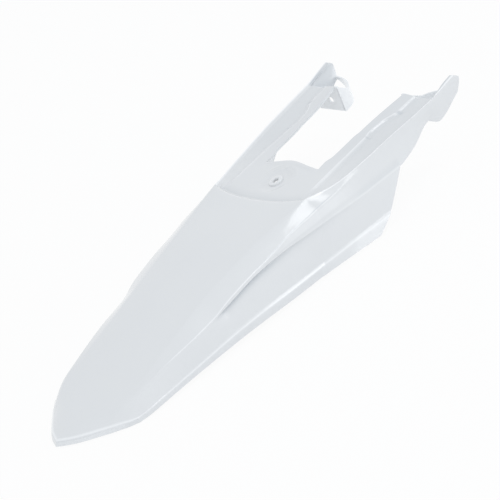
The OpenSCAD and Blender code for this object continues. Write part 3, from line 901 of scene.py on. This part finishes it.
bore_r, collar_r, under, over = seat_bore / 2, collar_w / 2, -wall - 0.9, 1.4
profile = [(bore_r + 0.5, under), (collar_r - 0.6, under), (collar_r, under + 0.6),
           (collar_r, over - 0.8), (collar_r - 0.25, over - 0.25), (collar_r - 0.8, over),
           (bore_r + 1.6, over), (bore_r + 1.3, over - 0.5), (bore_r + 0.4, over - 0.6),
           (bore_r, over - 1), (bore_r, under + 0.5)]
turns, n = 72, len(profile)
ring_points, ring_faces = [], []
for k in range(turns):
    a, k1 = 2 * math.pi * k / turns, (k + 1) % turns
    for i, (r, z) in enumerate(profile):
        i1 = (i + 1) % n
        ring_points.append(placed(on_deck_frame((r * math.cos(a), r * math.sin(a), z))))
        ring_faces.append((k * n + i, k1 * n + i, k1 * n + i1, k * n + i1))
collar = mesh_object("seat_collar", ring_points, ring_faces)
faces_out(collar.data)
# painted highlight on the collar's upper edge
write_mark(collar, "painted_highlight", [0.15 if z > over - 0.9 else 0 for _, z in profile] * turns)
print("collar of", collar_w, "mm with a bore of", seat_bore, "mm")

# %% [markdown]
# ## Brackets under the front ends
# Each front end has a curved tab below it, a plate with a bolt hole that runs into a bowed
# wall. The plate is meshed around its hole in rings, so the hole needs no boolean. The bowed
# wall is a strip along a quarter ellipse, cut off below by a slanting line. Both carry most
# of the mark that the inner side of the wall has, so they give off most of its painted light.

# %%
horn_x = ridge_x(4) - wall / 2
bracket_z = ridge_z(4) - bracket_h
bore_in, bore_up = 0.61, 0.42
bore_x, bore_z = horn_x - bracket_in * bore_in, bracket_z + bracket_h * bore_up
corner_in, corner_up, corner_r, plate_gap = 6, 4, 5, 0.6
shelf_z = ridge_z(4) - channel_d - lap
under_shelf = [(p[0], p[2] - lap) for p in (inner(4, 1), bead(4, 1), channel_floor(4, 1, False),
                                            channel_floor(4, 1, True))] + [(horn_x, shelf_z)]
cup_len = horn_len * 0.9
side_low = [(shelf_y + 2, bracket_z), (shelf_y + 0.8 * cup_len, bracket_z + lap),
            (shelf_y + cup_len, ridge_z(5) - horn_tip + 2 * lap)]
side_top = [(shelf_y + 0.05 * cup_len, bracket_z + 0.95 * bracket_h),
            (shelf_y + 0.31 * cup_len, bracket_z + 0.73 * bracket_h),
            (shelf_y + 0.52 * cup_len, bracket_z + 0.58 * bracket_h),
            (shelf_y + cup_len, max(bracket_z + 0.62 * bracket_h, side_low[2][1] + wall))]


def along(table, at):
    """The height of a line of (place, height) points at one place."""
    return float(np.interp(at, [t[0] for t in table], [t[1] for t in table]))


def lean_x(z):
    """How far out the bracket may reach at a height: its side leans in towards its foot."""
    return horn_x - 2 * wall_lean * min(1, max(0, (shelf_z - z) / (shelf_z - bracket_z)))


def plate_edge(angle):
    """Distance from the bore to the outline of the plate in one direction."""
    dx, dz = math.cos(angle), math.sin(angle)
    r = bracket_bore / 2
    while r < 90:
        x, z = bore_x + dx * r, bore_z + dz * r
        past_x, past_z = x - horn_x + corner_in, bracket_z + corner_up - z
        off_corner = past_x > 0 and past_z > 0 and math.hypot(past_x, past_z) > corner_r
        if (x < horn_x - bracket_in + plate_gap or x > lean_x(z) or z < bracket_z
                or z > along(under_shelf, x) or off_corner):
            break
        r += 0.05
    return r


plate_points, plate_faces, spokes = [], [], 96
shares = [0, 0.03, 0.1, 0.3, 0.6, 0.9, 1]
for side_y_at in (shelf_y - lap, shelf_y - lap + wall):
    for k in range(spokes):
        a = 2 * math.pi * k / spokes
        out_r = plate_edge(a)
        for s in shares:
            r = mix(bracket_bore / 2, out_r, s)
            plate_points.append((bore_x + r * math.cos(a), side_y_at, bore_z + r * math.sin(a)))
n, half = len(shares), spokes * len(shares)
for k in range(spokes):
    k1 = (k + 1) % spokes
    for i in range(n - 1):
        q = (k * n + i, k * n + i + 1, k1 * n + i + 1, k1 * n + i)
        plate_faces += [q, tuple(half + v for v in (q[0], q[3], q[2], q[1]))]
    bore_a, bore_b, rim_a, rim_b = k * n, k1 * n, k * n + n - 1, k1 * n + n - 1
    plate_faces.append((bore_a, bore_b, half + bore_b, half + bore_a))
    plate_faces.append((rim_a, half + rim_a, half + rim_b, rim_b))
print("plate of the bracket:", len(plate_faces), "faces round a bore of", bracket_bore, "mm")

# %%
bow = [(horn_x - bracket_in, shelf_y - lap, 0, 1)]
for k in range(1, 31):
    a = math.radians(3 * k)
    bow.append((horn_x - bracket_in * math.cos(a), shelf_y + cup_len * math.sin(a),
                math.sin(a), math.cos(a)))
levels = [0, 0.03, 0.1, 0.25, 0.5, 0.75, 0.9, 1]
bow_points, bow_faces = [], []
for inset in (0, wall):
    for k, (x, y, ny, nx) in enumerate(bow):
        low = along(side_low, y)
        top = min(along(side_top, y), along(under_shelf, min(x, horn_x)))
        for share in levels:
            z = mix(low, max(top, low + 1), share)
            bow_points.append((min(x + inset * nx, lean_x(z)), y - inset * ny, z))
m, half = len(levels), len(bow) * len(levels)
for k in range(len(bow) - 1):
    for i in range(m - 1):
        q = (k * m + i, (k + 1) * m + i, (k + 1) * m + i + 1, k * m + i + 1)
        bow_faces += [q, tuple(half + v for v in q[::-1])]
    low_a, low_b, top_a, top_b = k * m, (k + 1) * m, k * m + m - 1, (k + 1) * m + m - 1
    bow_faces.append((low_a, half + low_a, half + low_b, low_b))
    bow_faces.append((top_a, top_b, half + top_b, half + top_a))
for k in (0, len(bow) - 1):
    for i in range(m - 1):
        q = (k * m + i, k * m + i + 1, half + k * m + i + 1, half + k * m + i)
        bow_faces.append(q if k == 0 else q[::-1])
brackets, bracket_painted_light, edge_radius = [], 0.8, 0.0006
for mirror in (1, -1):
    for name, pts, fcs in (("plate", plate_points, plate_faces), ("bow", bow_points, bow_faces)):
        obj = mesh_object("bracket_" + name, placed(np.array(pts) * [mirror, 1, 1]), fcs)
        faces_out(obj.data)
        edge_round = obj.modifiers.new("edge radius", "BEVEL")
        edge_round.width, edge_round.segments = edge_radius, 2
        edge_round.limit_method = "ANGLE"
        edge_round.angle_limit = math.radians(50)
        baked(obj)
        # painted light: the brackets take most of the inner side's faint emission
        write_mark(obj, "inside", [bracket_painted_light] * len(obj.data.vertices))
        brackets.append(obj)
print("bowed wall of the bracket:", len(bow_faces), "faces")

# %% [markdown]
# ## One moulding
# The real fender comes out of the mould in one piece, so the shell, the collar and the
# brackets become one object that rides on the body. Folds sharper than 45 degrees, which are
# the borders of the wall, stay crisp, and all others are shaded smooth.

# %%
def joined(objects, name):
    for obj in bpy.context.selected_objects:
        obj.select_set(False)
    for obj in objects:
        obj.select_set(True)
    bpy.context.view_layer.objects.active = objects[0]
    bpy.ops.object.join()
    objects[0].name = name
    return objects[0]


for obj in [collar] + brackets:
    obj.data.materials.clear()
    obj.data.materials.append(plastic)
fender = joined([shell, collar] + brackets, "fender_moulding")
for poly in fender.data.polygons:
    poly.use_smooth = True
fender.data.set_sharp_from_angle(angle=math.radians(45))
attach(fender, "root")
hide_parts("rear_fender")
print("one moulding with", len(fender.data.polygons), "faces")

# %% [markdown]
# ## Writing materials as sums
# A wrapped socket can be used in Python expressions, and each sign adds its Math node. This
# keeps a material readable as a formula.

# %%
class Field:
    def __init__(self, tree, socket):
        self.tree, self.socket = tree, socket

    def math(self, operation, a, b):
        return node(self.tree, "ShaderNodeMath", {"operation": operation}, {0: a, 1: b})

    def __add__(self, other):
        return self.math("ADD", self, other)

    __radd__ = __add__

    def __mul__(self, other):
        return self.math("MULTIPLY", self, other)

    __rmul__ = __mul__

    def __rsub__(self, other):
        return self.math("SUBTRACT", other, self)


def node(tree, kind, settings, values, output=0):
    """Adds any node: its settings first, then the values or links of its sockets."""
    new = tree.nodes.new(kind)
    for key, value in settings.items():
        setattr(new, key, value)
    for key, value in values.items():
        if isinstance(value, Field):
            tree.links.new(value.socket, new.inputs[key])
        else:
            new.inputs[key].default_value = value
    return Field(tree, new.outputs[output]) if len(new.outputs) else None


def fresh(material):
    material.use_nodes = True
    material.node_tree.nodes.clear()
    return material.node_tree


# %% [markdown]
# ## Glossy white plastic
# The fender is white plastic straight from the mould, unpainted. Its shine is high but not
# perfect: a very slow waviness bends the reflections, and the channel floors have a fine
# grain. The colour varies by a hair, as moulded plastic does where it flowed. The marks mix
# in painted shade, a darker white, and painted highlights, a brighter white. The inner side
# of the wall and the brackets give off a faint painted light, except at the front ends,
# which carry painted shade instead.

# %%
def mark_of(name):
    return node(tree, "ShaderNodeAttribute", {"attribute_name": name}, {}, "Fac")


def tinted(factor, a, b):
    return node(tree, "ShaderNodeMix", {"data_type": "RGBA"}, {"Factor": factor, 6: a, 7: b}, 2)


body_low, body_high = (0.76, 0.772, 0.785, 1), (0.79, 0.8, 0.81, 1)
# painted shade grey and painted highlight white for the marks, and the colour of the painted light
# on the inner side and the brackets
painted_shade_grey, painted_highlight_white = (0.5, 0.54, 0.58, 1), (0.94, 0.95, 0.96, 1)
no_light, painted_inner_light = (0, 0, 0, 1), (0.14, 0.145, 0.15, 1)
wave_h, grain_h = 0.0006, 0.0001
tree = fresh(plastic)
place = node(tree, "ShaderNodeTexCoord", {}, {}, "Object")
flow = node(tree, "ShaderNodeTexNoise", {}, {"Vector": place, "Scale": 9.0, "Detail": 2.0})
wave = node(tree, "ShaderNodeTexNoise", {}, {"Vector": place, "Scale": 26.0, "Detail": 1.0})
speck = node(tree, "ShaderNodeTexNoise", {}, {"Vector": place, "Scale": 1500.0, "Detail": 2.0})
shown = 1 - mark_of("inside")
grain_here = mark_of("grain") * shown
body = tinted(flow, body_low, body_high)
# painted shade and painted highlight mixed into the base colour by the marks
shade = mark_of("painted_shade") * shown + 0.5 * mark_of("tip") * mark_of("inside")
deep = tinted(shade, body, painted_shade_grey)
colour = tinted(mark_of("painted_highlight") * shown, deep, painted_highlight_white)
# painted light: a faint emission on the inner side of the wall and on the brackets, less at the
# front ends
painted_light_share = mark_of("inside") * (1 - mark_of("tip"))
through = tinted(painted_light_share, no_light, painted_inner_light)
rough = 0.17 + 0.05 * flow + 0.22 * grain_here
height = wave_h * wave + grain_h * speck * grain_here
bump = node(tree, "ShaderNodeBump", {}, {"Strength": 0.6, "Distance": 1.0, "Height": height})
skin_shader = node(tree, "ShaderNodeBsdfPrincipled", {},
                   {"Base Color": colour, "Roughness": rough, "Normal": bump, "IOR": 1.49,
                    "Coat Weight": 0.5, "Coat Roughness": 0.06,
                    "Emission Color": through, "Emission Strength": 1.0})
node(tree, "ShaderNodeOutputMaterial", {}, {"Surface": skin_shader})
print("plastic with", len(tree.nodes), "nodes")

# %% [markdown]
# ## Floor and backdrop
# The photograph has a white ground. The floor shows the camera plain white, mixed with just
# enough of its lit surface to keep the fender's shadow. The world does the same: the camera
# and mirrored rays meet plain white, while its light on the part is soft and a little blue.

# %%
def seen_in(tree):
    """1 for a ray from the camera, off a shiny surface or through a clear one, otherwise 0."""
    straight, mirrored, let_through = (
        node(tree, "ShaderNodeLightPath", {}, {}, "Is " + kind + " Ray")
        for kind in ("Camera", "Glossy", "Transmission"))
    return straight + mirrored + let_through


plain_white, floor_grey, sky_blue = (1, 1, 1, 1), (0.9, 0.9, 0.9, 1), (0.93, 0.965, 1, 1)


def ground(name, lit_share):
    material = bpy.data.materials.new(name)
    tree = fresh(material)
    lit = node(tree, "ShaderNodeBsdfDiffuse", {}, {"Color": floor_grey})
    white = node(tree, "ShaderNodeEmission", {}, {"Color": plain_white, "Strength": 1.0})
    mixed = node(tree, "ShaderNodeMixShader", {},
                 {0: seen_in(tree) * (1 - lit_share), 1: lit, 2: white})
    node(tree, "ShaderNodeOutputMaterial", {}, {"Surface": mixed})
    return material


floor = mesh_object("floor", [(-6, -6, 0), (6, -6, 0), (6, 6, 0), (-6, 6, 0)], [(0, 1, 2, 3)])
floor.data.materials.append(ground("pale_floor", 0.08))
floor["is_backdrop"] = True
world = bpy.data.worlds.new("studio")
bpy.context.scene.world = world
world.use_nodes = True
tree = world.node_tree
tree.nodes.clear()
air = node(tree, "ShaderNodeBackground", {}, {"Color": sky_blue, "Strength": 0.8})
white = node(tree, "ShaderNodeBackground", {}, {"Color": plain_white, "Strength": 1.0})
sky = node(tree, "ShaderNodeMixShader", {}, {0: seen_in(tree), 1: air, 2: white})
node(tree, "ShaderNodeOutputWorld", {}, {"Surface": sky})
print("white ground and sky")

# %% [markdown]
# ## Lamps and camera
# Three large soft lamps light the part: one overhead, whose reflection is the bright patch
# on the shoulder, one at the side for the flank, and a weak one behind the tail that fills
# the shadows. The camera stands where the photograph's camera stood, with a long lens.

# %%
def turn(v):
    """Turns a direction as the part is turned to stand."""
    x, y, z = v
    return (x, y * math.cos(stand) + z * math.sin(stand),
            -y * math.sin(stand) + z * math.cos(stand))


def lamp(name, place, target, width, height, power):
    light = bpy.data.lights.new(name, "AREA")
    light.shape, light.size, light.size_y, light.energy = "RECTANGLE", width, height, power
    obj = bpy.data.objects.new(name, light)
    bpy.context.collection.objects.link(obj)
    obj.location = place
    obj.rotation_euler = (Vector(target) - Vector(place)).to_track_quat("-Z", "Y").to_euler()
    return obj


lamp("overhead", (0.84, 0.86, 2.15), (0, 0.06, 0.1), 0.52, 1.35, 7.4)
lamp("side", (2.0, 1.2, 0.5), (0, 0, 0.05), 1.0, 0.8, 6)
lamp("fill", (0.5, -2.2, 0.7), (0, 0.3, 0.05), 1.6, 1.0, 5)

picture_w, film_w, focal_px = 500, 36, 2885.9
camera_at = (2767.1, -1479.9, 1658.9)
lens = bpy.data.cameras.new("camera")
lens.lens, lens.sensor_width, lens.clip_end = focal_px / picture_w * film_w, film_w, 100
camera = bpy.data.objects.new("camera", lens)
bpy.context.collection.objects.link(camera)
right = turn((0.6541, 0.6698, -0.3516))
up = turn((-0.1166, 0.5485, 0.8280))
back = turn((0.7474, -0.5006, 0.4368))
facing_way = Matrix([list(v) for v in zip(right, up, back)]).to_4x4()
camera.matrix_world = Matrix.Translation(Vector(placed(camera_at))) @ facing_way
bpy.context.scene.camera = camera
bpy.context.scene.view_settings.view_transform = "Standard"
print("camera with a lens of", round(lens.lens, 1), "mm")

# %% [markdown]
# ## Sizes of both
# The last line gives the CAD box and the box of what was made here side by side.

# %%
{"cad_box": cad_box, "visual_box": [list(corner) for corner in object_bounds()]}
